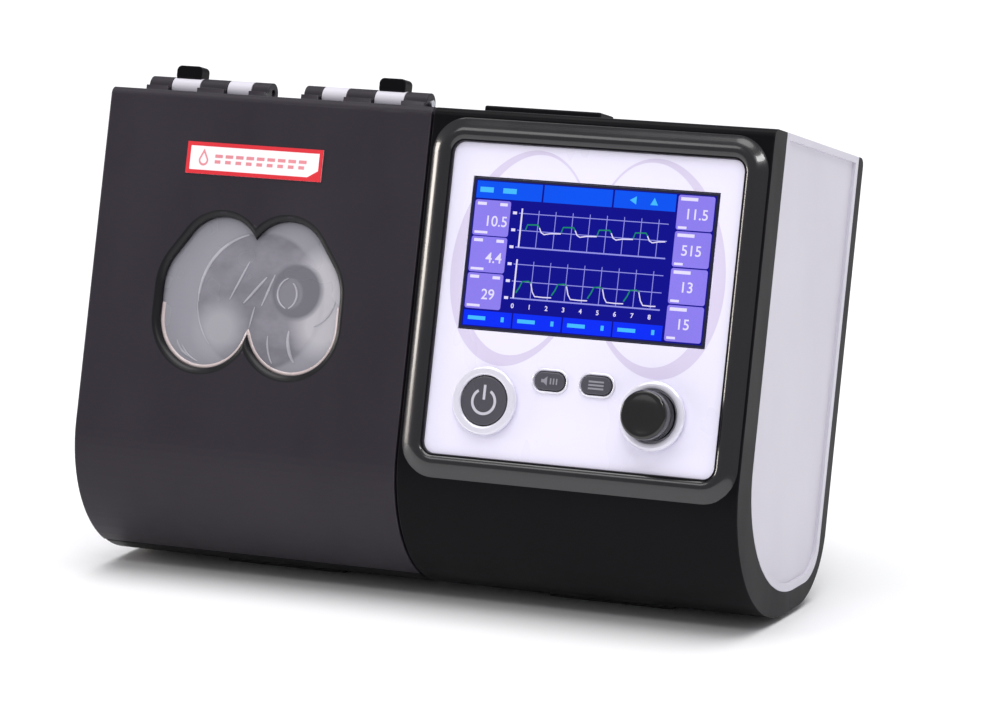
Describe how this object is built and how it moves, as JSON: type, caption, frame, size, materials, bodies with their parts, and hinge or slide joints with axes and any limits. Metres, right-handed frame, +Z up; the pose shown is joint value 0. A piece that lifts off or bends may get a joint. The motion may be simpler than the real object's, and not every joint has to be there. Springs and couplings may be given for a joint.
{
  "type": "mechanical ventilator",
  "caption": "Bedside breathing ventilator that leans back on its base, with a screen, keys and a knob, docked to a heated humidifier with a swing-up door.",
  "frame": {"origin": "on the table, under the middle of the machine's bounding box", "axes": "+Z up, -Y towards the user in front of the screen, +X to the user's right, along the width"},
  "size_m": [0.27, 0.14, 0.1898],
  "materials": {
    "black_casing": "satin",
    "door_charcoal": "satin",
    "white_casing": "satin",
    "inner_white": "satin",
    "inner_plastic": "satin",
    "fascia": "gloss",
    "screen": "gloss",
    "dark_metal": "satin",
    "circuit_board": "satin",
    "chrome_ring": "polished",
    "button_grey": "gloss",
    "key_grey": "satin",
    "knob_black": "gloss",
    "steel": "satin",
    "aluminium": "satin",
    "copper": "satin",
    "silicone": "matte",
    "foam": "matte",
    "filter_white": "matte",
    "rubber_black": "matte",
    "clear_plastic": "gloss",
    "label": "gloss"
  },
  "bodies": {
    "machine": {"front_shell": "black_casing", "mid_shell": "white_casing", "back_cover": "black_casing", "fascia_panel": "fascia", "screen_lens": "screen", "lcd_module": "dark_metal", "panel_board": "circuit_board", "power_ring": "chrome_ring", "knob_ring": "chrome_ring", "encoder_body": "dark_metal", "chassis_deck": "steel", "power_board": "circuit_board", "power_inlet": "black_casing", "speaker": "dark_metal", "blower_base": "inner_plastic", "blower_lid": "inner_plastic", "blower_mounts": "silicone", "motor_can": "dark_metal", "motor_stator": "copper", "motor_bearings": "steel", "inlet_box": "inner_plastic", "muffler_foam": "foam", "air_filter": "filter_white", "flow_sensor": "inner_plastic", "outlet_bellows": "silicone", "release_spring": "steel", "main_feet": "rubber_black", "case_screws": "steel", "hum_shell": "white_casing", "hum_bay": "inner_white", "hum_base": "black_casing", "hum_back": "black_casing", "hinge_pin": "steel", "hinge_caps": "black_casing", "water_tub": "clear_plastic", "tub_plate": "aluminium", "tub_lid": "clear_plastic", "tub_seal": "silicone", "heater_springs": "steel", "heater_tray": "dark_metal", "outlet_port": "inner_white", "outlet_seal": "silicone", "dock_connector": "key_grey", "hum_feet": "rubber_black"},
    "door": {"hum_door": "door_charcoal", "door_window": "clear_plastic", "door_label": "label"},
    "power_cap": {"power_button": "button_grey"},
    "mute_cap": {"mute_key": "key_grey"},
    "menu_cap": {"menu_key": "key_grey"},
    "knob_plunger": {"encoder_plunger": "inner_plastic"},
    "knob": {"encoder_knob": "knob_black", "encoder_shaft": "steel"},
    "rotor": {"impeller": "inner_plastic", "motor_rotor": "dark_metal", "motor_shaft": "steel"},
    "filter_cover": {"filter_flap": "black_casing"},
    "release_key": {"release_button": "black_casing"},
    "heater": {"heater_plate": "aluminium"}
  },
  "joints": [
    {"name": "door_hinge", "type": "hinge", "parent": "machine", "child": "door", "pos_m": [-0.06775, -0.01445, 0.18102], "axis": [-1, 0, 0], "range_deg": [0, 90]},
    {"name": "power_press", "type": "slide", "parent": "machine", "child": "power_cap", "axis": [0, 0.9681, -0.2504], "range_m": [0, 0.0012], "stiffness_N_per_m": 500, "springref_m": -0.0005},
    {"name": "mute_press", "type": "slide", "parent": "machine", "child": "mute_cap", "axis": [0, 0.9681, -0.2504], "range_m": [0, 0.0008], "stiffness_N_per_m": 500, "springref_m": -0.0005},
    {"name": "menu_press", "type": "slide", "parent": "machine", "child": "menu_cap", "axis": [0, 0.9681, -0.2504], "range_m": [0, 0.0008], "stiffness_N_per_m": 500, "springref_m": -0.0005},
    {"name": "knob_push", "type": "slide", "parent": "machine", "child": "knob_plunger", "axis": [0, 0.9681, -0.2504], "range_m": [0, 0.0006], "stiffness_N_per_m": 1500, "springref_m": -0.0005},
    {"name": "knob_turn", "type": "hinge", "parent": "knob_plunger", "child": "knob", "pos_m": [0.09945, -0.05807, 0.08024], "axis": [0, 0.9681, -0.2504], "continuous": true},
    {"name": "impeller_spin", "type": "hinge", "parent": "machine", "child": "rotor", "pos_m": [0.06775, -0.01362, 0.10035], "axis": [0, 0.9681, -0.2504], "continuous": true},
    {"name": "filter_cover_hinge", "type": "hinge", "parent": "machine", "child": "filter_cover", "pos_m": [0.06775, 0.03401, 0.06923], "axis": [-1, 0, 0], "range_deg": [0, 90]},
    {"name": "release_press", "type": "slide", "parent": "machine", "child": "release_key", "axis": [0, -0.2504, -0.9681], "range_m": [0, 0.003], "stiffness_N_per_m": 600, "springref_m": -0.002, "deforming": ["release_spring"]},
    {"name": "heater_float", "type": "slide", "parent": "machine", "child": "heater", "axis": [0, -0.2504, -0.9681], "range_m": [0, 0.0015], "stiffness_N_per_m": 900, "springref_m": -0.002, "deforming": ["heater_springs"]}
  ]
}
